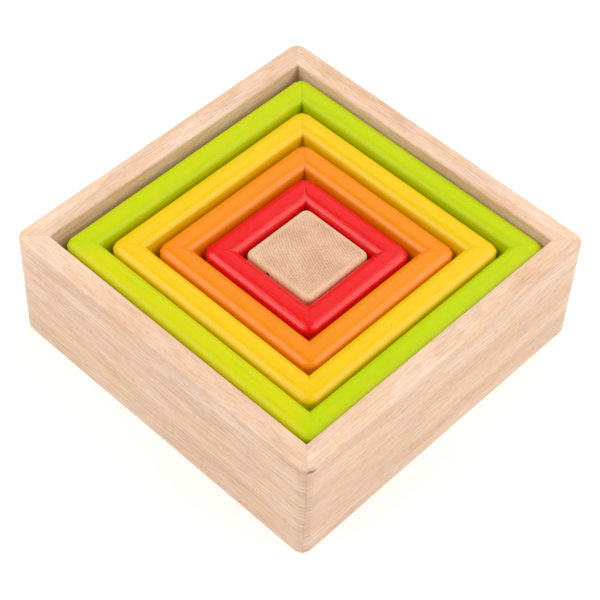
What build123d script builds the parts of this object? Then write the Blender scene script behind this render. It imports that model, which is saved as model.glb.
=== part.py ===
from build123d import *

import os

# Nesting squares: a mitred beech tray that holds four mitred, painted wooden frames and a beech block.
#
# Millimetres, +Z up. The origin is on the table, under the middle of the tray, whose sides run along X and Y.
# Every frame is four rails glued at their mitres, so each rail and each tray wall is a solid of its own.
# All of the frames stand on the tray's floor, one inside another, and lift straight out. Each is a little
# lower than the one around it, and the block in the middle is the lowest.

# --- Tray: four walls glued at their mitres around a grooved-in plywood floor ---
TRAY_SIZE = 175.0          # across the outside faces
TRAY_HEIGHT = 60.0
TRAY_WALL = 11.0
TRAY_CORNER_RADIUS = 5.0   # upright outside corners
TRAY_OUTER_EDGE = 1.2      # rounding of the outside faces' top and bottom edges
TRAY_INNER_EDGE = 0.6      # rounding of the edge where the rim meets the inside
FLOOR_THICKNESS = 4.0
FLOOR_LIFT = 3.0           # gap between the table and the floor's underside
GROOVE_DEPTH = 4.0         # how far the floor's groove goes into each wall
FLOOR_SIDE_GAP = 0.4       # between the floor's edge and the bottom of its groove

# --- Frames: rails of one moulding, cut to four lengths ---
FRAME_COLOURS = ("green", "yellow", "orange", "red")   # largest first
FRAME_WALL = 12.0
FRAME_PLAY = 1.9           # on each side, inside the tray or the frame around it
FRAME_EDGE = 3.0           # rounding of the rails' long edges
FRAME_CORNER_RADIUS = 5.5  # upright outside corners
RIM_DROP = 3.7             # from the tray's rim down to the largest frame's top
STEP_DOWN = 1.8            # from each frame's top down to the next one's, and to the block's

# --- Block: the solid middle piece ---
BLOCK_PLAY = 1.4           # on each side, inside the smallest frame
BLOCK_CORNER_RADIUS = 3.5
BLOCK_EDGE = 2.2

# Where each piece lies in its play, as a share of it along X and Y: 0 is the middle, 1 touches.
# They are loose, and have been pushed a little towards the tray's +X +Y corner.
RESTING_SHARES = {
    "green": (0.63, 0.72),
    "yellow": (0.05, 0.02),
    "orange": (0.25, 0.18),
    "red": (-0.18, 0.24),
    "block": (0.04, 0.30),
}

SIDES = ("front", "right", "back", "left")             # -Y, +X, +Y, -X: a quarter turn apart
LARGEST_ROUNDING = 0.45                                # share of a wall that one rounding may take

tray_inside = TRAY_SIZE - 2 * TRAY_WALL
floor_top = FLOOR_LIFT + FLOOR_THICKNESS
tallest_frame = TRAY_HEIGHT - floor_top - RIM_DROP


def rounding(radius, wall):
    """The wanted radius, or as much of it as the wall has room for."""
    return min(radius, LARGEST_ROUNDING * wall)


def level_edges(solid, size):
    """The top and bottom edges of a square's faces, where size is the distance between opposite faces."""
    ends = solid.faces().filter_by(Axis.Z).sort_by(Axis.Z)
    edges = ends[0].edges() + ends[-1].edges()
    inside = size / 2 + 1e-3
    return [e for e in edges if max(abs(e.center().X), abs(e.center().Y)) < inside]


def square_hoop(size, wall, height, corner_radius, outer_edge, inner_edge):
    """A square hoop standing on Z 0: rounded outside corners, sharp inside ones, rounded long edges."""
    hoop = Box(size, size, height, align=(Align.CENTER, Align.CENTER, Align.MIN))
    hoop = fillet(hoop.edges().filter_by(Axis.Z), corner_radius)
    hoop = fillet(level_edges(hoop, size), rounding(outer_edge, wall))
    hoop -= Box(size - 2 * wall, size - 2 * wall, 3 * height)
    return fillet(level_edges(hoop, size - 2 * wall), rounding(inner_edge, wall))


def side_wedge(size, height):
    """The quarter of a square that lies between its two diagonals on the -Y side, as a tall prism."""
    reach = size
    outline = Polyline((0, 0), (-reach, -reach), (reach, -reach), close=True)
    return Pos(0, 0, -height) * extrude(make_face(outline), 3 * height)


def mitred_sides(hoop, size, height):
    """The hoop cut at its diagonals into four pieces, as {side: solid}."""
    first = hoop & side_wedge(size, height)
    return {side: Rot(0, 0, 90 * turn) * first for turn, side in enumerate(SIDES)}


def tray_parts():
    hoop = square_hoop(
        TRAY_SIZE, TRAY_WALL, TRAY_HEIGHT, TRAY_CORNER_RADIUS, TRAY_OUTER_EDGE, TRAY_INNER_EDGE
    )
    groove_size = tray_inside + 2 * GROOVE_DEPTH
    floor_size = groove_size - 2 * FLOOR_SIDE_GAP
    stand = (Align.CENTER, Align.CENTER, Align.MIN)
    hoop -= Pos(0, 0, FLOOR_LIFT) * Box(groove_size, groove_size, FLOOR_THICKNESS, align=stand)
    walls = mitred_sides(hoop, TRAY_SIZE, TRAY_HEIGHT)
    parts = {f"tray_wall_{side}": wall for side, wall in walls.items()}
    parts["tray_floor"] = Pos(0, 0, FLOOR_LIFT) * Box(floor_size, floor_size, FLOOR_THICKNESS, align=stand)
    return parts


def frame_parts(colour, size, height, centre):
    hoop = square_hoop(size, FRAME_WALL, height, FRAME_CORNER_RADIUS, FRAME_EDGE, FRAME_EDGE)
    place = Pos(centre[0], centre[1], floor_top)
    rails = mitred_sides(hoop, size, height)
    return {f"{colour}_rail_{side}": place * rail for side, rail in rails.items()}


def block_part(size, height, centre):
    block = Box(size, size, height, align=(Align.CENTER, Align.CENTER, Align.MIN))
    block = fillet(block.edges().filter_by(Axis.Z), rounding(BLOCK_CORNER_RADIUS, size))
    block = fillet(level_edges(block, size), rounding(BLOCK_EDGE, size))
    return Pos(centre[0], centre[1], floor_top) * block


def moved(centre, name, play):
    """Where the named piece's middle lies, inside a space that is centred and leaves it this much play."""
    return tuple(c + share * play for c, share in zip(centre, RESTING_SHARES[name]))


def all_parts():
    parts = tray_parts()
    space, height, centre = tray_inside, tallest_frame, (0.0, 0.0)
    for colour in FRAME_COLOURS:
        size = space - 2 * FRAME_PLAY
        centre = moved(centre, colour, FRAME_PLAY)
        parts.update(frame_parts(colour, size, height, centre))
        space = size - 2 * FRAME_WALL
        height -= STEP_DOWN
    centre = moved(centre, "block", BLOCK_PLAY)
    parts["centre_block"] = block_part(space - 2 * BLOCK_PLAY, height, centre)
    return parts


os.makedirs("parts", exist_ok=True)
for node, solid in all_parts().items():
    export_step(solid, f"parts/{node}.step")
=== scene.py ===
import math

import bpy
from mathutils import Matrix, Vector


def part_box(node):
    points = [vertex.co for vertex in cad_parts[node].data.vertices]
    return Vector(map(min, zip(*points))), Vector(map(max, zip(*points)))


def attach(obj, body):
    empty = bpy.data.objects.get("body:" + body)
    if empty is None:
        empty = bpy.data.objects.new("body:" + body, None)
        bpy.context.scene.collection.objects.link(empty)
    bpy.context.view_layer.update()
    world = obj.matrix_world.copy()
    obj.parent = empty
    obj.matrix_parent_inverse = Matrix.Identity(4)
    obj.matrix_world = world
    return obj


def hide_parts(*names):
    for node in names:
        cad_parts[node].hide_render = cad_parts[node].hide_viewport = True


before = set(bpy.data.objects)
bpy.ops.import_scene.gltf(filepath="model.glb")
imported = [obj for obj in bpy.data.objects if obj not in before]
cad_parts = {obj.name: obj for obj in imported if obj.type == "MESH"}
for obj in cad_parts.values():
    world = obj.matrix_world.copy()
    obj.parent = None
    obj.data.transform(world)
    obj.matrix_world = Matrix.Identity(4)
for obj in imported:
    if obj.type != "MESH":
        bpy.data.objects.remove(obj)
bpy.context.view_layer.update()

# ------------------------------------------------------------------------------------------------ tray walls
# Four planed beech boards, mitred and glued into a square. The outside corners are sanded round and
# the rim's edges are only eased, so the inside corners stay crisp. The wood is sanded and left bare.

SIDES = ("front", "right", "back", "left")      # a quarter turn apart, as the boards are glued
MM = 1000.0                 # millimetres in a metre
BOARD_SPACING = 217.0       # how far apart, in millimetres of wood, two boards' grain starts
TONE_FADE = 9.0             # millimetres from the mitre over which a rail takes on its own tone
WANDER_FADE = 5.0           # millimetres from the mitre over which the sanded surface starts to wander


def maths(tree, operation, *values):
    """A Math node in either kind of tree. Each value is a number or another node's output."""
    node = tree.nodes.new("ShaderNodeMath")
    node.operation = operation
    for socket, value in zip(node.inputs, values):
        join(tree, value, socket)
    return node.outputs[0]


def join(tree, value, socket):
    """Links an output to a socket, or sets the socket to a plain value."""
    if isinstance(value, bpy.types.NodeSocket):
        tree.links.new(value, socket)
    else:
        socket.default_value = value


def place(tree, kind, settings=None, **inputs):
    """A new node with its settings, and its inputs joined by name, with _ for a space."""
    node = tree.nodes.new(kind)
    for name, value in (settings or {}).items():
        setattr(node, name, value)
    for name, value in inputs.items():
        join(tree, value, node.inputs[name.replace("_", " ")])
    return node


def vector(tree, x, y, z):
    return place(tree, "ShaderNodeCombineXYZ", X=x, Y=y, Z=z).outputs[0]


def parts_of(tree, value):
    return place(tree, "ShaderNodeSeparateXYZ", Vector=value).outputs


def ramp(tree, value, low, high, to_low=0.0, to_high=1.0, smooth=False):
    """Maps low..high to to_low..to_high, and holds it there outside that stretch."""
    node = tree.nodes.new("ShaderNodeMapRange")
    node.interpolation_type = "SMOOTHSTEP" if smooth else "LINEAR"
    for socket, number in zip(node.inputs, (value, low, high, to_low, to_high)):
        join(tree, number, socket)
    return node.outputs[0]


def mixed(tree, share, first, second):
    """The first colour, going to the second as the share goes from 0 to 1."""
    blend = place(tree, "ShaderNodeMix", {"data_type": "RGBA"})
    for index, value in ((0, share), (6, first), (7, second)):
        join(tree, value, blend.inputs[index])
    return blend.outputs[2]


def new_tree(name, kind, inputs, outputs):
    """An empty node group with its sockets. A socket is (name, type) or (name, type, default)."""
    tree = bpy.data.node_groups.new(name, kind)
    for in_out, sockets in (("INPUT", inputs), ("OUTPUT", outputs)):
        for socket_name, socket_type, *default in sockets:
            socket = tree.interface.new_socket(socket_name, in_out=in_out, socket_type=socket_type)
            if default:
                socket.default_value = default[0]
    return tree, tree.nodes.new("NodeGroupInput").outputs, tree.nodes.new("NodeGroupOutput").inputs


def mitred_rail_tree():
    """One rail of a square hoop, along its -Y side, cut at 45 degrees at both ends. Sizes are in metres.

    A rounded section is swept along a unit line, and each point is then moved to its place: its distance
    from the outside face sets how long its run is and how tight a turn it takes at the round corners.
    """
    number, whole = "NodeSocketFloat", "NodeSocketInt"
    tree, given, out = new_tree(
        "Mitred rail",
        "GeometryNodeTree",
        [
            ("Half Size", number), ("Wall", number), ("Bottom", number), ("Top", number),
            ("Corner Radius", number), ("Outer Edge", number), ("Inner Edge", number),
            ("Edge Flatness", number, 1.0), ("Crown", number), ("Waviness", number),
            ("Wave Length", number, 0.03), ("Seam Width", number), ("Seam Depth", number),
            ("Start Seam", number), ("End Seam", number), ("Tone", number),
            ("Middle", "NodeSocketVector"), ("Quarter Turns", number), ("Board", number),
            ("Lengthwise Steps", whole, 96), ("Edge Steps", whole, 7), ("Flat Cuts", whole, 2),
            ("Material", "NodeSocketMaterial"),
        ],
        [("Geometry", "NodeSocketGeometry")],
    )
    wall, bottom, top = given["Wall"], given["Bottom"], given["Top"]
    height = maths(tree, "SUBTRACT", top, bottom)

    # The section: a rectangle with round edges, squeezed in height so that they become elliptical.
    flatness = given["Edge Flatness"]
    section = place(tree, "GeometryNodeCurvePrimitiveQuadrilateral", Width=wall,
                    Height=maths(tree, "DIVIDE", height, flatness)).outputs[0]
    across = parts_of(tree, tree.nodes.new("GeometryNodeInputPosition").outputs[0])["X"]
    inside = maths(tree, "GREATER_THAN", across, 0.0)
    edge = place(tree, "ShaderNodeMix", Factor=inside,
                 A=given["Outer Edge"], B=given["Inner Edge"]).outputs[0]
    section = place(tree, "GeometryNodeFilletCurve", {"mode": "POLY"}, Curve=section,
                    Count=given["Edge Steps"], Radius=edge, Limit_Radius=True).outputs[0]
    section = place(tree, "GeometryNodeSubdivideCurve", Curve=section, Cuts=given["Flat Cuts"]).outputs[0]
    section = place(tree, "GeometryNodeTransform", Geometry=section,
                    Scale=vector(tree, 1.0, flatness, 1.0)).outputs[0]

    # Swept along X from -1 to 1: the section's X comes out along Y and its Y along Z.
    line = place(tree, "GeometryNodeCurvePrimitiveLine",
                 Start=(-1.0, 0.0, 0.0), End=(1.0, 0.0, 0.0)).outputs[0]
    line = place(tree, "GeometryNodeResampleCurve", Curve=line, Count=given["Lengthwise Steps"]).outputs[0]
    rail = place(tree, "GeometryNodeCurveToMesh", Curve=line, Profile_Curve=section,
                 Fill_Caps=True).outputs[0]

    # The sawn ends are flat faces, so that the shading of the sides isn't bent where two rails meet.
    facing = parts_of(tree, tree.nodes.new("GeometryNodeInputNormal").outputs[0])["X"]
    sawn_end = maths(tree, "GREATER_THAN", maths(tree, "ABSOLUTE", facing), 0.5)
    rail = place(tree, "GeometryNodeSetShadeSmooth", Geometry=rail).outputs[0]
    rail = place(tree, "GeometryNodeSetShadeSmooth", Geometry=rail, Selection=sawn_end,
                 Shade_Smooth=False).outputs[0]
    # Each point keeps its place in the swept shape, since its position is about to change.
    swept = tree.nodes.new("GeometryNodeInputPosition").outputs[0]
    rail = place(tree, "GeometryNodeStoreNamedAttribute", {"data_type": "FLOAT_VECTOR"},
                 Geometry=rail, Name="swept", Value=swept).outputs[0]
    kept = place(tree, "GeometryNodeInputNamedAttribute", {"data_type": "FLOAT_VECTOR"}, Name="swept")
    swept = parts_of(tree, kept.outputs[0])
    run = maths(tree, "ABSOLUTE", swept["X"])
    inset = maths(tree, "ADD", swept["Y"], maths(tree, "MULTIPLY", wall, 0.5))

    # The crown: the top and bottom faces fall away a little from the rail's middle to its edges.
    off_middle = maths(tree, "DIVIDE", swept["Y"], maths(tree, "MULTIPLY", wall, 0.5))
    fall = maths(tree, "DIVIDE", given["Crown"], maths(tree, "MULTIPLY", height, 0.5))
    keep = maths(tree, "SUBTRACT", 1.0, maths(tree, "MULTIPLY", fall, maths(tree, "POWER", off_middle, 2.0)))
    middle_height = maths(tree, "MULTIPLY", maths(tree, "ADD", bottom, top), 0.5)
    up = maths(tree, "ADD", middle_height, maths(tree, "MULTIPLY", swept["Z"], keep))

    # How far each point is along its own run, with one last short step to the mitre for the glue seam.
    reach = maths(tree, "SUBTRACT", given["Half Size"], inset)
    radius = maths(tree, "MAXIMUM", maths(tree, "SUBTRACT", given["Corner Radius"], inset), 0.0)
    straight = maths(tree, "SUBTRACT", reach, radius)
    whole_run = maths(tree, "ADD", straight, maths(tree, "MULTIPLY", radius, math.pi / 4))
    last_step = maths(tree, "SUBTRACT", 1.0, maths(tree, "DIVIDE", 2.0,
                      maths(tree, "SUBTRACT", given["Lengthwise Steps"], 1.0)))
    to_seam = maths(tree, "SUBTRACT", whole_run, given["Seam Width"])
    distance = maths(tree, "ADD", ramp(tree, run, 0.0, last_step, 0.0, to_seam),
                     ramp(tree, run, last_step, 1.0, 0.0, given["Seam Width"]))
    past = maths(tree, "MAXIMUM", maths(tree, "SUBTRACT", distance, straight), 0.0)
    turn = maths(tree, "DIVIDE", past, maths(tree, "MAXIMUM", radius, 1e-6))
    turned_x = maths(tree, "MULTIPLY", radius, maths(tree, "SINE", turn))
    turned_y = maths(tree, "MULTIPLY", radius, maths(tree, "COSINE", turn))
    side = maths(tree, "SIGN", swept["X"])
    square_part = maths(tree, "MINIMUM", distance, straight)
    along = maths(tree, "MULTIPLY", side, maths(tree, "ADD", square_part, turned_x))
    outward = maths(tree, "MULTIPLY", -1.0, maths(tree, "ADD", straight, turned_y))
    rail = place(tree, "GeometryNodeSetPosition", Geometry=rail,
                 Position=vector(tree, along, outward, up)).outputs[0]

    # The grain runs along the rail, and each board is cut from its own stretch of wood, in millimetres.
    from_board = maths(tree, "MULTIPLY", given["Board"], BOARD_SPACING)
    now = parts_of(tree, tree.nodes.new("GeometryNodeInputPosition").outputs[0])
    grain = vector(tree, maths(tree, "MULTIPLY_ADD", now["X"], MM, from_board),
                   maths(tree, "MULTIPLY", inset, MM), maths(tree, "MULTIPLY", now["Z"], MM))
    rail = place(tree, "GeometryNodeStoreNamedAttribute", {"data_type": "FLOAT_VECTOR"},
                 Geometry=rail, Name="grain", Value=grain).outputs[0]
    to_mitre = maths(tree, "MULTIPLY", maths(tree, "SUBTRACT", maths(tree, "ABSOLUTE", now["Y"]),
                     maths(tree, "ABSOLUTE", now["X"])), MM * math.sqrt(0.5))
    rail = place(tree, "GeometryNodeStoreNamedAttribute", {"data_type": "FLOAT"},
                 Geometry=rail, Name="to_mitre", Value=to_mitre).outputs[0]

    seam = ramp(tree, side, -1.0, 1.0, given["Start Seam"], given["End Seam"])
    tone = maths(tree, "MULTIPLY", given["Tone"], ramp(tree, to_mitre, 0.0, TONE_FADE, smooth=True))
    for name, value in (("seam", seam), ("tone", tone)):
        rail = place(tree, "GeometryNodeStoreNamedAttribute", {"data_type": "FLOAT"},
                     Geometry=rail, Name=name, Value=value).outputs[0]

    # Hand sanding: the surface wanders inwards a little, and dips at the seam. Nothing moves along the
    # mitre's own direction, so that the two rails of a corner still meet.
    normal = tree.nodes.new("GeometryNodeInputNormal").outputs[0]
    mitre = vector(tree, maths(tree, "MULTIPLY", side, math.sqrt(0.5)), math.sqrt(0.5), 0.0)
    at_end = maths(tree, "GREATER_THAN", run, maths(tree, "ADD", last_step, 1e-4))
    against = place(tree, "ShaderNodeVectorMath", {"operation": "DOT_PRODUCT"}).outputs["Value"]
    tree.links.new(normal, against.node.inputs[0])
    tree.links.new(mitre, against.node.inputs[1])
    along_mitre = place(tree, "ShaderNodeVectorMath", {"operation": "SCALE"},
                        Vector=mitre, Scale=maths(tree, "MULTIPLY", against, at_end)).outputs[0]
    sideways = place(tree, "ShaderNodeVectorMath", {"operation": "SUBTRACT"})
    tree.links.new(normal, sideways.inputs[0])
    tree.links.new(along_mitre, sideways.inputs[1])
    wander = place(tree, "ShaderNodeTexNoise", Scale=maths(tree, "DIVIDE", 1.0, given["Wave Length"]),
                   Detail=2.0, Vector=tree.nodes.new("GeometryNodeInputPosition").outputs[0]).outputs[0]
    clear_of_mitre = ramp(tree, to_mitre, 0.0, WANDER_FADE, smooth=True)
    wander = maths(tree, "MULTIPLY", wander, clear_of_mitre)
    inwards = maths(tree, "ADD", maths(tree, "MULTIPLY", wander, given["Waviness"]),
                    maths(tree, "MULTIPLY", at_end, given["Seam Depth"]))
    offset = place(tree, "ShaderNodeVectorMath", {"operation": "SCALE"},
                   Vector=sideways.outputs[0], Scale=maths(tree, "MULTIPLY", inwards, -1.0)).outputs[0]
    rail = place(tree, "GeometryNodeSetPosition", Geometry=rail, Offset=offset).outputs[0]

    # Turned to its side of the square and moved to the square's middle.
    quarter = vector(tree, 0.0, 0.0, maths(tree, "MULTIPLY", given["Quarter Turns"], math.pi / 2))
    rail = place(tree, "GeometryNodeTransform", Geometry=rail, Rotation=quarter,
                 Translation=given["Middle"]).outputs[0]
    rail = place(tree, "GeometryNodeRemoveAttribute", Geometry=rail, Name="swept").outputs[0]
    rail = place(tree, "GeometryNodeRealizeInstances", Geometry=rail).outputs[0]
    rail = place(tree, "GeometryNodeSetMaterial", Geometry=rail, Material=given["Material"]).outputs[0]
    tree.links.new(rail, out["Geometry"])
    return tree


def grown(name, tree, sizes):
    """A plain mesh object made by a Geometry Nodes tree with these inputs. No modifier is left on it."""
    seed = bpy.data.objects.new(name + "_seed", bpy.data.meshes.new(name + "_seed"))
    bpy.context.scene.collection.objects.link(seed)
    modifier = seed.modifiers.new(name, "NODES")
    modifier.node_group = tree
    for socket in tree.interface.items_tree:
        if socket.in_out == "INPUT" and socket.name in sizes:
            modifier[socket.identifier] = sizes[socket.name]
    depsgraph = bpy.context.evaluated_depsgraph_get()
    mesh = bpy.data.meshes.new_from_object(seed.evaluated_get(depsgraph), depsgraph=depsgraph)
    bpy.data.objects.remove(seed)
    piece = bpy.data.objects.new(name, mesh)
    bpy.context.scene.collection.objects.link(piece)
    return piece


def hoop_of(prefix):
    """A square of four rails, from its CAD nodes: half its size, its wall, its middle and its height."""
    boxes = {side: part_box(f"{prefix}_{side}") for side in SIDES}
    low_y, high_y = boxes["front"][0].y, boxes["back"][1].y
    low_x, high_x = boxes["left"][0].x, boxes["right"][1].x
    return {
        "Half Size": (high_y - low_y) / 2,
        "Wall": boxes["front"][1].y - low_y,
        "Middle": Vector(((low_x + high_x) / 2, (low_y + high_y) / 2, 0.0)),
        "Bottom": boxes["front"][0].z,
        "Top": boxes["front"][1].z,
    }


# Waves in a millimetre along the grain, inwards and up, for each layer of the wood's figure. They are
# all far slower along the grain than across it. The rays go along the grain, out from the pith and round it.
WAVER_PITCH = (0.012, 0.05, 0.05)
FIBRE_PITCH = (0.10, 1.7, 1.7)
BAND_PITCH = (0.014, 0.12, 0.12)
PATCH_PITCH = (0.035, 0.16, 0.16)
RAY_PITCH = (0.22, 0.55, 1.9)
PITH_TURN = 75.0            # millimetres that one radian round the pith counts for


def pitched(tree, axes, pitch):
    """A vector of three outputs, each multiplied by its own number of waves in a millimetre."""
    return vector(tree, *(maths(tree, "MULTIPLY", axis, waves) for axis, waves in zip(axes, pitch)))


def noise(tree, at, detail, scale=1.0, roughness=0.5):
    return place(tree, "ShaderNodeTexNoise", Vector=at, Scale=scale, Detail=detail,
                 Roughness=roughness).outputs[0]


def beech_tree():
    """Solid beech, in millimetres, with the grain along the vector's X. It is cut out of a log whose pith
    lies along X at Pith Y and Pith Z, so the faces show growth rings, rays and end grain as sawn ones do."""
    number, colour = "NodeSocketFloat", "NodeSocketColor"
    tree, given, out = new_tree(
        "Beech",
        "ShaderNodeTree",
        [
            ("Vector", "NodeSocketVector"), ("Pith Y", number, 20.0), ("Pith Z", number, -80.0),
            ("Ring Width", number, 3.0), ("Waver", number, 9.0),
            ("Pale", colour), ("Deep", colour), ("Blush", colour), ("Fleck", colour),
            ("Ring Strength", number, 0.35), ("Fibre Strength", number, 0.75),
            ("Fleck Strength", number, 0.26),
        ],
        [("Color", colour), ("Height", number), ("Dullness", number)],
    )
    place_in_log = parts_of(tree, given["Vector"])
    x = place_in_log["X"]
    y = maths(tree, "SUBTRACT", place_in_log["Y"], given["Pith Y"])
    z = maths(tree, "SUBTRACT", place_in_log["Z"], given["Pith Z"])
    slow = noise(tree, pitched(tree, (x, y, z), WAVER_PITCH), 2.0)
    swing = maths(tree, "MULTIPLY", maths(tree, "SUBTRACT", slow, 0.5), given["Waver"])
    radius = maths(tree, "ADD", maths(tree, "SQRT", maths(tree, "ADD", maths(tree, "POWER", y, 2.0),
                   maths(tree, "POWER", z, 2.0))), swing)
    round_pith = maths(tree, "MULTIPLY", maths(tree, "ARCTAN2", y, maths(tree, "ABSOLUTE", z)), PITH_TURN)

    # Growth rings: pale early wood that deepens towards a thin line of late wood.
    phase = maths(tree, "FRACT", maths(tree, "DIVIDE", radius, given["Ring Width"]))
    late = ramp(tree, maths(tree, "POWER", phase, 3.0), 0.0, 0.9)
    ring = maths(tree, "MULTIPLY", late, ramp(tree, phase, 1.0, 0.93))

    # Fibres: fine streaks a few tenths of a millimetre across that run on along the grain.
    fibres = ramp(tree, noise(tree, pitched(tree, (x, y, z), FIBRE_PITCH), 4.0, roughness=0.7), 0.36, 0.66)

    # Broad bands of deeper and paler wood, and soft patches of a warmer colour.
    bands = ramp(tree, noise(tree, pitched(tree, (x, y, z), BAND_PITCH), 3.0), 0.35, 0.65)
    patches = noise(tree, pitched(tree, (x, y, z), PATCH_PITCH), 2.0)
    blush = maths(tree, "MULTIPLY", ramp(tree, patches, 0.38, 0.66, smooth=True), 0.8)

    # Rays: thin plates that lie along the grain and point at the pith. Cut across they are short dark
    # dashes, cut along they are silky patches, and on end grain they are fine lines.
    cells = place(tree, "ShaderNodeTexVoronoi", Scale=1.0, Randomness=1.0,
                  Vector=pitched(tree, (x, radius, round_pith), RAY_PITCH))
    chosen = ramp(tree, parts_of(tree, cells.outputs["Color"])["X"], 0.05, 0.95)
    fleck = maths(tree, "MULTIPLY", ramp(tree, cells.outputs["Distance"], 0.42, 0.12), chosen)

    tone = maths(tree, "ADD", maths(tree, "MULTIPLY", ring, given["Ring Strength"]),
                 maths(tree, "MULTIPLY", fibres, given["Fibre Strength"]))
    tone = maths(tree, "ADD", tone, maths(tree, "MULTIPLY", bands, 0.45))
    shade = given["Pale"]
    for share, tint in ((blush, given["Blush"]), (ramp(tree, tone, 0.15, 1.5), given["Deep"]),
                        (maths(tree, "MULTIPLY", fleck, given["Fleck Strength"]), given["Fleck"])):
        shade = mixed(tree, share, shade, tint)
    low = maths(tree, "ADD", maths(tree, "MULTIPLY", fleck, 0.5), maths(tree, "MULTIPLY", fibres, 0.35))
    tree.links.new(shade, out["Color"])
    join(tree, maths(tree, "SUBTRACT", 1.0, low), out["Height"])
    join(tree, maths(tree, "ADD", maths(tree, "MULTIPLY", fibres, 0.5), maths(tree, "MULTIPLY", ring, 0.5)),
         out["Dullness"])
    return tree


def nick_tree():
    """A small dent or crack at a place, with its reach along each axis: 1 in the middle and 0 outside it."""
    number = "NodeSocketFloat"
    tree, given, out = new_tree("Nick", "ShaderNodeTree", [
        ("Vector", "NodeSocketVector"), ("Place", "NodeSocketVector"),
        ("Reach", "NodeSocketVector", (1.0, 1.0, 1.0)),
    ], [("Mask", number)])
    away = place(tree, "ShaderNodeVectorMath", {"operation": "SUBTRACT"})
    tree.links.new(given["Vector"], away.inputs[0])
    tree.links.new(given["Place"], away.inputs[1])
    ragged = noise(tree, given["Vector"], 2.0, scale=1.3)
    shares = place(tree, "ShaderNodeVectorMath", {"operation": "DIVIDE"})
    tree.links.new(away.outputs[0], shares.inputs[0])
    tree.links.new(given["Reach"], shares.inputs[1])
    how_far = place(tree, "ShaderNodeVectorMath", {"operation": "LENGTH"})
    tree.links.new(shares.outputs[0], how_far.inputs[0])
    edge = maths(tree, "ADD", how_far.outputs["Value"], maths(tree, "MULTIPLY", ragged, 0.5))
    join(tree, ramp(tree, edge, 1.15, 0.55, smooth=True), out["Mask"])
    return tree


def new_material(name, **settings):
    """A material with one Principled shader, whose constant sockets are set here."""
    material = bpy.data.materials.new(name)
    material.use_nodes = True
    shader = material.node_tree.nodes["Principled BSDF"]
    for socket, value in settings.items():
        shader.inputs[socket.replace("_", " ")].default_value = value
    return material, material.node_tree, shader.inputs


def group(tree, made, **inputs):
    node = place(tree, "ShaderNodeGroup", {"node_tree": made}, **inputs)
    return node.outputs


def raise_surface(tree, shader, height, depth, distance=0.001):
    """Bump on the shader's normal: height 0..1 stands for depth metres, seen at this strength."""
    bump = place(tree, "ShaderNodeBump", Strength=depth, Distance=distance, Height=height)
    tree.links.new(bump.outputs[0], shader["Normal"])


mitred_rail = mitred_rail_tree()
beech = beech_tree()
nick = nick_tree()

GLUE_LINE = (0.34, 0.17, 0.08, 1.0)
BROKEN_WOOD = (0.19, 0.07, 0.03, 1.0)
BEECH_PALE = (0.945, 0.712, 0.55, 1.0)
BEECH_DEEP = (0.66, 0.385, 0.235, 1.0)
BEECH_BLUSH = (0.93, 0.645, 0.415, 1.0)
BEECH_FLECK = (0.42, 0.21, 0.12, 1.0)


def bare_beech(name, pith_y, pith_z, ring_width, chip=None):
    """Sanded, unfinished beech. The rail's own attributes give its grain and how far off its mitre is."""
    material, tree, shader = new_material(name, Specular_IOR_Level=0.35)
    grain = place(tree, "ShaderNodeAttribute", {"attribute_name": "grain"}).outputs["Vector"]
    wood = group(tree, beech, Vector=grain, Pith_Y=pith_y, Pith_Z=pith_z, Ring_Width=ring_width,
                 Pale=BEECH_PALE, Deep=BEECH_DEEP, Blush=BEECH_BLUSH, Fleck=BEECH_FLECK)
    to_mitre = place(tree, "ShaderNodeAttribute", {"attribute_name": "to_mitre"}).outputs["Fac"]
    open_seam = place(tree, "ShaderNodeAttribute", {"attribute_name": "seam"}).outputs["Fac"]
    glue = maths(tree, "MULTIPLY", ramp(tree, to_mitre, 0.30, 0.08), open_seam)
    shade, height = mixed(tree, glue, wood["Color"], GLUE_LINE), wood["Height"]
    if chip:
        dent = group(tree, nick, Vector=grain, Place=chip, Reach=CHIP_REACH)["Mask"]
        shade, height = mixed(tree, dent, shade, BROKEN_WOOD), maths(tree, "SUBTRACT", height, dent)
    tree.links.new(shade, shader["Base Color"])
    join(tree, ramp(tree, wood["Dullness"], 0.0, 1.0, 0.50, 0.68), shader["Roughness"])
    raise_surface(tree, shader, height, 0.10)
    return material


tray = hoop_of("tray_wall")
tray |= {
    "Corner Radius": 0.0050, "Outer Edge": 0.0012, "Inner Edge": 0.0006, "Crown": 0.0,
    "Waviness": 0.00012, "Wave Length": 0.05, "Seam Width": 0.0003, "Seam Depth": 0.00002,
    "Lengthwise Steps": 72, "Edge Steps": 4, "Flat Cuts": 3,
}
# The tray's boards are sawn near one another, so each lies a little further from the pith than the last.
PITH_Y, PITH_Z, RING_WIDTH = 8.0, -70.0, 2.6
# How much each glued corner shows, from the front-right one round to the front-left one.
TRAY_SEAMS = (0.10, 0.05, 0.08, 0.05)
# A splinter is missing where the right wall starts, just under the rim: its place and its reach along
# the grain, inwards and up, in millimetres of that wall's own wood.
CHIP_REACH = (5.0, 1.5, 1.4)
RIGHT_WALL_STARTS = 2 * BOARD_SPACING - MM * tray["Half Size"]
CHIP = (RIGHT_WALL_STARTS + 2.8, 0.7, MM * tray["Top"] - 1.0)
for turns, side in enumerate(SIDES):
    board = {"Quarter Turns": float(turns), "Board": float(turns + 1),
             "Start Seam": TRAY_SEAMS[turns - 1], "End Seam": TRAY_SEAMS[turns],
             "Material": bare_beech(f"beech_{side}", PITH_Y + 5.0 * turns, PITH_Z - 9.0 * turns, RING_WIDTH,
                                    CHIP if side == "right" else None)}
    wall = grown(f"wall_{side}", mitred_rail, tray | board)
    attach(wall, "tray")
    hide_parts(f"tray_wall_{side}")

# ------------------------------------------------------------------------------------------------ tray floor
# A thin plywood panel that slides into the walls' groove before the last wall is glued on. Its faces
# are rotary-cut veneer, which shows wide, lazy figure, and it is left bare.

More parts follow.
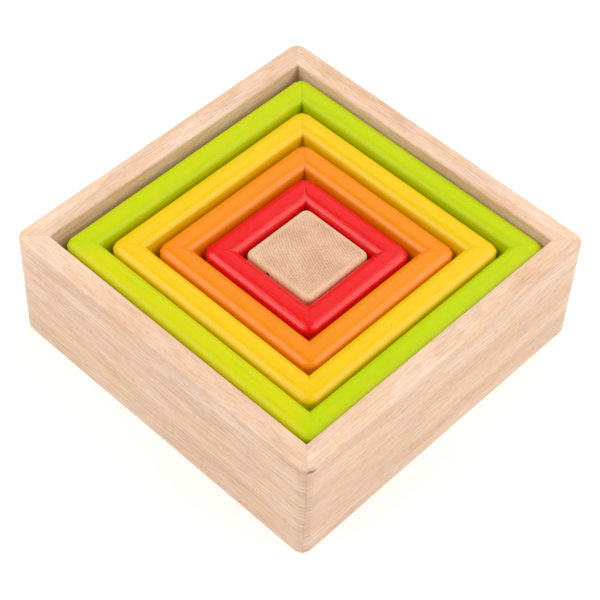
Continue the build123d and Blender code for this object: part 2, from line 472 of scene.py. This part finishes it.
floor_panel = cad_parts["tray_floor"]
plywood, tree, shader = new_material("birch_plywood", Specular_IOR_Level=0.3)
spot = place(tree, "ShaderNodeTexCoord").outputs["Object"]
in_mm = place(tree, "ShaderNodeMapping", Vector=spot, Scale=(MM, MM, MM)).outputs[0]
veneer = group(tree, beech, Vector=in_mm, Pith_Y=12.0, Pith_Z=-160.0, Ring_Width=1.1, Ring_Strength=0.5,
               Fleck_Strength=0.15, Pale=(0.80, 0.63, 0.43, 1.0), Deep=(0.64, 0.44, 0.26, 1.0),
               Blush=(0.76, 0.55, 0.34, 1.0), Fleck=(0.52, 0.30, 0.15, 1.0))
tree.links.new(veneer["Color"], shader["Base Color"])
join(tree, ramp(tree, veneer["Dullness"], 0.0, 1.0, 0.55, 0.72), shader["Roughness"])
raise_surface(tree, shader, veneer["Height"], 0.08)
floor_panel.data.materials.clear()
floor_panel.data.materials.append(plywood)

# ------------------------------------------------------------------------------------------------ frames
# Each frame is four rails of one beech moulding, mitred, glued, sanded at the corners and then dipped in
# gloss paint. The paint levels out over the grain but sinks a little at the seams, and it holds a few
# pinholes and faint streaks along the wood.


STREAK_PITCH = (0.035, 0.55, 0.35)      # waves in a millimetre, as for the wood
CLOUD_PITCH = 0.11
HOLE_PITCH = 0.22


def paint_tree():
    """Paint over wood: tone that drifts along the grain, dark pinholes, and a line at the mitre."""
    number, colour = "NodeSocketFloat", "NodeSocketColor"
    tree, given, out = new_tree(
        "Gloss paint on wood",
        "ShaderNodeTree",
        [
            ("Vector", "NodeSocketVector"), ("Wood Height", number), ("To Mitre", number),
            ("Paint", colour), ("Thick", colour), ("Thin", colour), ("Seam", colour),
            ("Streaks", number, 0.5), ("Seam Strength", number, 0.5), ("Tone", number),
            ("Pinholes", number, 0.14),
        ],
        [("Color", colour), ("Height", number), ("Dullness", number)],
    )
    at = parts_of(tree, given["Vector"])
    streak = noise(tree, pitched(tree, (at["X"], at["Y"], at["Z"]), STREAK_PITCH), 3.0)
    cloud = noise(tree, given["Vector"], 3.0, scale=CLOUD_PITCH)
    thick = maths(tree, "MULTIPLY", ramp(tree, streak, 0.52, 0.72, smooth=True), given["Streaks"])
    thin = maths(tree, "MULTIPLY", ramp(tree, cloud, 0.52, 0.70, smooth=True), given["Streaks"])
    holes = place(tree, "ShaderNodeTexVoronoi", Scale=HOLE_PITCH, Randomness=1.0, Vector=given["Vector"])
    chosen = maths(tree, "LESS_THAN", parts_of(tree, holes.outputs["Color"])["Y"], given["Pinholes"])
    pinhole = maths(tree, "MULTIPLY", ramp(tree, holes.outputs["Distance"], 0.075, 0.035), chosen)
    line = maths(tree, "MULTIPLY", ramp(tree, given["To Mitre"], 0.45, 0.10), given["Seam Strength"])
    shade = given["Paint"]
    for share, tint in ((given["Tone"], given["Thin"]), (thick, given["Thick"]),
                        (maths(tree, "MULTIPLY", thin, 0.6), given["Thin"]), (line, given["Seam"]),
                        (maths(tree, "MULTIPLY", pinhole, 0.7), given["Seam"])):
        shade = mixed(tree, share, shade, tint)
    sunk = maths(tree, "ADD", pinhole, maths(tree, "MULTIPLY", line, 0.6))
    level = maths(tree, "ADD", maths(tree, "MULTIPLY", given["Wood Height"], 0.35),
                  maths(tree, "MULTIPLY", cloud, 0.8))
    tree.links.new(shade, out["Color"])
    join(tree, maths(tree, "SUBTRACT", level, sunk), out["Height"])
    join(tree, ramp(tree, cloud, 0.3, 0.7), out["Dullness"])
    return tree


paint_over_wood = paint_tree()


def gloss_paint(name, paint, thick, thin, seam, gloss, matt, streaks=0.5, ripple=0.12, pinholes=0.14):
    """Paint in its own colour and where it lies thick, thin or in a seam. Gloss is the strength of its
    shine, matt is its roughness, and ripple is how far the wood still shows through as relief."""
    material, tree, shader = new_material(name, Specular_IOR_Level=gloss)
    grain = place(tree, "ShaderNodeAttribute", {"attribute_name": "grain"}).outputs["Vector"]
    to_mitre = place(tree, "ShaderNodeAttribute", {"attribute_name": "to_mitre"}).outputs["Fac"]
    seams = place(tree, "ShaderNodeAttribute", {"attribute_name": "seam"}).outputs["Fac"]
    tone = place(tree, "ShaderNodeAttribute", {"attribute_name": "tone"}).outputs["Fac"]
    wood = group(tree, beech, Vector=grain, Pith_Y=6.0, Pith_Z=-60.0, Ring_Width=2.2)
    coat = group(tree, paint_over_wood, Vector=grain, Wood_Height=wood["Height"], To_Mitre=to_mitre,
                 Paint=paint, Thick=thick, Thin=thin, Seam=seam, Streaks=streaks, Seam_Strength=seams,
                 Tone=tone, Pinholes=pinholes)
    tree.links.new(coat["Color"], shader["Base Color"])
    join(tree, ramp(tree, coat["Dullness"], 0.0, 1.0, matt - 0.03, matt + 0.06), shader["Roughness"])
    raise_surface(tree, shader, coat["Height"], ripple)
    return material


FRAME_PAINTS = {
    "green": gloss_paint(
        "lime_green_paint", paint=(0.52, 0.655, 0.001, 1), thick=(0.45, 0.61, 0.001, 1),
        thin=(0.69, 0.65, 0.003, 1), seam=(0.18, 0.22, 0.0, 1), gloss=0.16, matt=0.26),
    "yellow": gloss_paint(
        "golden_yellow_paint", paint=(0.88, 0.565, 0.002, 1), thick=(0.87, 0.49, 0.001, 1),
        thin=(0.89, 0.605, 0.008, 1), seam=(0.45, 0.20, 0.0, 1), gloss=0.33, matt=0.22),
    "orange": gloss_paint(
        "orange_paint", paint=(0.88, 0.255, 0.002, 1), thick=(0.87, 0.21, 0.001, 1),
        thin=(0.89, 0.295, 0.006, 1), seam=(0.45, 0.06, 0.0, 1), gloss=0.36, matt=0.20),
    "red": gloss_paint(
        "red_paint", paint=(0.83, 0.003, 0.005, 1), thick=(0.76, 0.002, 0.003, 1),
        thin=(0.85, 0.005, 0.008, 1), seam=(0.20, 0.0, 0.0, 1), gloss=0.50, matt=0.16,
        ripple=0.30, pinholes=0.35),
}
# How much each glued corner shows, in the same order as on the tray.
FRAME_SEAMS = (0.03, 0.05, 0.22, 0.05)
# How far each rail's colour leans to the thin paint: front, right, back, left.
RAIL_TONES = {"green": (0.75, 0.0, 0.1, 0.25), "yellow": (0.1, 0.0, 0.1, 0.3),
              "orange": (0.0, 0.5, 0.2, 0.3), "red": (0.0, 0.2, 0.0, 0.1)}
MOULDING = {
    "Corner Radius": 0.0055, "Outer Edge": 0.0048, "Inner Edge": 0.0046, "Edge Flatness": 0.56,
    "Crown": 0.0002, "Waviness": 0.00016, "Wave Length": 0.024, "Seam Width": 0.0004,
    "Seam Depth": 0.00002, "Edge Steps": 9,
}
STEP_LENGTH = 0.0015        # of the rails' mesh
for order, (colour, paint) in enumerate(FRAME_PAINTS.items()):
    hoop = hoop_of(f"{colour}_rail") | MOULDING
    hoop["Lengthwise Steps"] = 2 * round(hoop["Half Size"] / STEP_LENGTH) // 2 + 1
    for turns, side in enumerate(SIDES):
        stock = {"Quarter Turns": float(turns), "Board": float(10 * (order + 1) + turns), "Material": paint,
                 "Start Seam": FRAME_SEAMS[turns - 1], "End Seam": FRAME_SEAMS[turns],
                 "Tone": RAIL_TONES[colour][turns]}
        rail = grown(f"{colour}_{side}", mitred_rail, hoop | stock)
        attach(rail, f"{colour}_frame")
        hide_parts(f"{colour}_rail_{side}")

# ----------------------------------------------------------------------------------------------- centre block
# A plain block sawn off a square beech bar, so its top is end grain: pores and fine rays, with the growth
# rings running from corner to corner. Its edges are rounded in a tumbler and one is nicked.

block_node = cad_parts["centre_block"]
block_wood, tree, shader = new_material("beech_end_grain", Specular_IOR_Level=0.3)
spot = place(tree, "ShaderNodeTexCoord").outputs["Object"]
turned = place(tree, "ShaderNodeMapping", Vector=spot, Rotation=(0.0, math.pi / 2, 0.0),
               Scale=(MM, MM, MM)).outputs[0]
bar = group(tree, beech, Vector=turned, Pith_Y=100.0, Pith_Z=-46.0, Ring_Width=1.25, Ring_Strength=0.75,
            Waver=4.0, Fibre_Strength=0.85, Pale=(0.87, 0.575, 0.40, 1.0), Deep=(0.54, 0.29, 0.165, 1.0),
            Blush=(0.86, 0.56, 0.36, 1.0), Fleck=(0.40, 0.20, 0.11, 1.0))
low, high = (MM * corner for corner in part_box("centre_block"))
in_mm = place(tree, "ShaderNodeMapping", Vector=spot, Scale=(MM, MM, MM)).outputs[0]
at = parts_of(tree, in_mm)
off_middle = [maths(tree, "ABSOLUTE", maths(tree, "SUBTRACT", at[axis], middle))
              for axis, middle in (("X", (low.x + high.x) / 2), ("Y", (low.y + high.y) / 2))]
# A painted highlight: the top is paler along its rounded edges and on the sides, where the lamps catch them.
# The band begins and is full this many millimetres in from the sides.
HIGHLIGHT_STARTS, HIGHLIGHT_FULL = 3.2, 1.4
half_block = (high.x - low.x) / 2
# Painted highlight: a paler tint mixed in along the block's edges, for the light they catch.
edge_highlight = ramp(tree, maths(tree, "MAXIMUM", *off_middle), half_block - HIGHLIGHT_STARTS, half_block - HIGHLIGHT_FULL)
shade = mixed(tree, maths(tree, "MULTIPLY", edge_highlight, 0.5), bar["Color"], (0.90, 0.64, 0.38, 1.0))
notch = group(tree, nick, Vector=in_mm, Place=(low.x + 14.4, low.y + 0.1, high.z - 2.6),
              Reach=(1.6, 1.3, 1.4))["Mask"]
tree.links.new(mixed(tree, notch, shade, BROKEN_WOOD), shader["Base Color"])
join(tree, ramp(tree, bar["Dullness"], 0.0, 1.0, 0.55, 0.75), shader["Roughness"])
raise_surface(tree, shader, maths(tree, "SUBTRACT", bar["Height"], notch), 0.12)
block_node.data.materials.clear()
block_node.data.materials.append(block_wood)

# ------------------------------------------------------------------------------------------------ studio
# A seamless pale floor, a large soft lamp on each side and a pale room. The camera stands off one corner
# of the tray and looks down at it, a little rolled.

SWEEP = 3.0             # half the floor's width
floor = bpy.data.objects.new("floor", bpy.data.meshes.new("floor"))
corners = [(x * SWEEP, y * SWEEP, 0.0) for x, y in ((-1, -1), (1, -1), (1, 1), (-1, 1))]
floor.data.from_pydata(corners, [], [(0, 1, 2, 3)])
bpy.context.scene.collection.objects.link(floor)
paper, _, _ = new_material("white_paper", Base_Color=(0.80, 0.80, 0.80, 1.0), Roughness=0.9,
                           Specular_IOR_Level=0.1, Emission_Color=(1.0, 1.0, 1.0, 1.0),
                           Emission_Strength=0.35)
floor.data.materials.append(paper)

ROOM_LIGHT = 0.34       # what the pale room sends onto matt surfaces
ROOM_SHEEN = 0.03       # the ceiling is dark where the gloss paint mirrors it
room = bpy.data.worlds.new("room")
bpy.context.scene.world = room
room.use_nodes = True
room.node_tree.nodes["Background"].inputs["Color"].default_value = (1.0, 1.0, 1.0, 1.0)
light_path = place(room.node_tree, "ShaderNodeLightPath").outputs
join(room.node_tree, ramp(room.node_tree, light_path["Is Glossy Ray"], 0.0, 1.0, ROOM_LIGHT, ROOM_SHEEN),
     room.node_tree.nodes["Background"].inputs["Strength"])


def softbox(name, towards, distance, wide, tall, brightness):
    """A lamp in this direction from the toy, facing it. Brightness is its radiance, with white paper at 1."""
    lamp = bpy.data.lights.new(name, "AREA")
    lamp.shape = "RECTANGLE"
    lamp.size = wide
    lamp.size_y = tall
    lamp.energy = brightness * math.pi * wide * tall
    holder = bpy.data.objects.new(name, lamp)
    direction = Vector(towards).normalized()
    holder.location = direction * distance
    holder.rotation_euler = direction.to_track_quat("Z", "Y").to_euler()
    bpy.context.scene.collection.objects.link(holder)


softbox("left_softbox", (-0.42, -0.47, 0.77), 1.2, 1.10, 0.80, 2.9)
softbox("right_softbox", (0.53, 0.47, 0.70), 1.2, 1.10, 1.00, 2.5)
softbox("back_card", (-0.30, 0.67, 0.67), 1.4, 1.30, 0.80, 0.80)

VIEW_AZIMUTH, VIEW_ELEVATION, VIEW_ROLL = (math.radians(angle) for angle in (41.8, 50.43, -2.88))
VIEW_DISTANCE = 0.8514
VIEW_OFFSET = (0.0006, 0.01133)     # rightwards and upwards from the tray's middle
LENS, SENSOR = 111.9, 36.0

away = Vector((math.sin(VIEW_AZIMUTH) * math.cos(VIEW_ELEVATION),
               -math.cos(VIEW_AZIMUTH) * math.cos(VIEW_ELEVATION), math.sin(VIEW_ELEVATION)))
level = Vector((math.cos(VIEW_AZIMUTH), math.sin(VIEW_AZIMUTH), 0.0))
upright = away.cross(level)
camera = bpy.data.objects.new("camera", bpy.data.cameras.new("camera"))
camera.data.sensor_width = SENSOR
camera.data.lens = LENS
camera.location = level * VIEW_OFFSET[0] + upright * VIEW_OFFSET[1] + away * VIEW_DISTANCE
rolled = (level * math.cos(VIEW_ROLL) - upright * math.sin(VIEW_ROLL),
          level * math.sin(VIEW_ROLL) + upright * math.cos(VIEW_ROLL), away)
camera.rotation_euler = Matrix(rolled).transposed().to_euler()
bpy.context.scene.collection.objects.link(camera)
bpy.context.scene.camera = camera
bpy.context.scene.view_settings.view_transform = "Standard"
